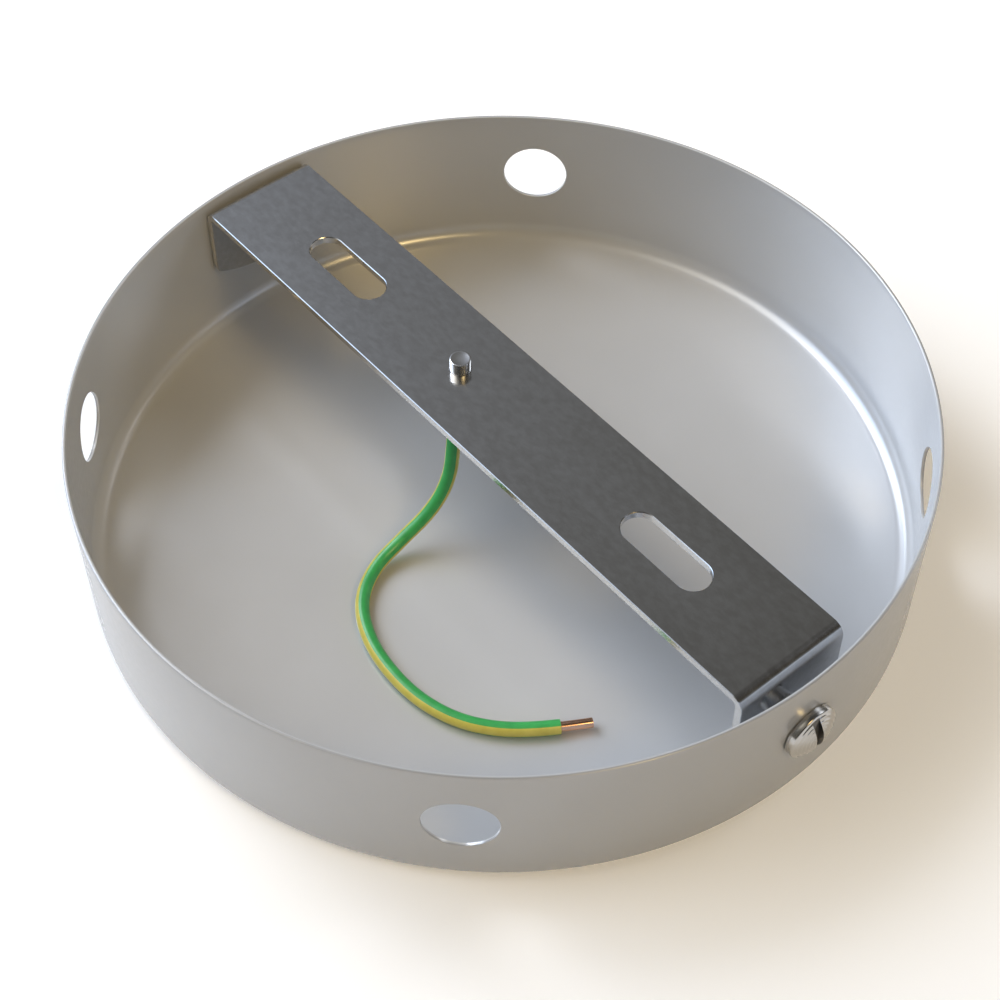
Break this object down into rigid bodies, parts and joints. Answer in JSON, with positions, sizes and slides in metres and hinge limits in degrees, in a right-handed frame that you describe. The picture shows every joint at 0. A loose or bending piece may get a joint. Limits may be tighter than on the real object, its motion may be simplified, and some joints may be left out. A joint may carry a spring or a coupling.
{
  "type": "electrical ceiling rose",
  "caption": "Shallow round metal ceiling rose with cable outlets in its side wall, a slotted mounting bracket held by side screws, and an earth wire on a ring terminal.",
  "frame": {"origin": "centre of the canopy's closed face, on its outer surface", "axes": "+Z out of the open rim towards the ceiling, +X along the bracket towards the end whose flange stands off the wall, +Y completes a right-handed frame"},
  "size_m": [0.1248, 0.12, 0.026],
  "materials": {
    "canopy_metal": "satin plated sheet",
    "bracket_steel": "dull zinc plated strip",
    "screw_plating": "bright plated",
    "washer_steel": "plated",
    "tinned_terminal": "dull tin plating",
    "wire_insulation": "green with two yellow stripes",
    "bare_conductor": "bare copper"
  },
  "bodies": {
    "root": {"canopy": "canopy_metal", "mounting_bracket": "bracket_steel", "side_screw_near": "screw_plating", "side_screw_far": "screw_plating", "earth_screw": "screw_plating", "earth_toothed_washer": "washer_steel", "earth_plain_washer": "washer_steel", "earth_spring_washer": "washer_steel", "ring_terminal": "tinned_terminal", "earth_wire": "wire_insulation", "earth_wire_conductor": "bare_conductor"}
  },
  "joints": []
}
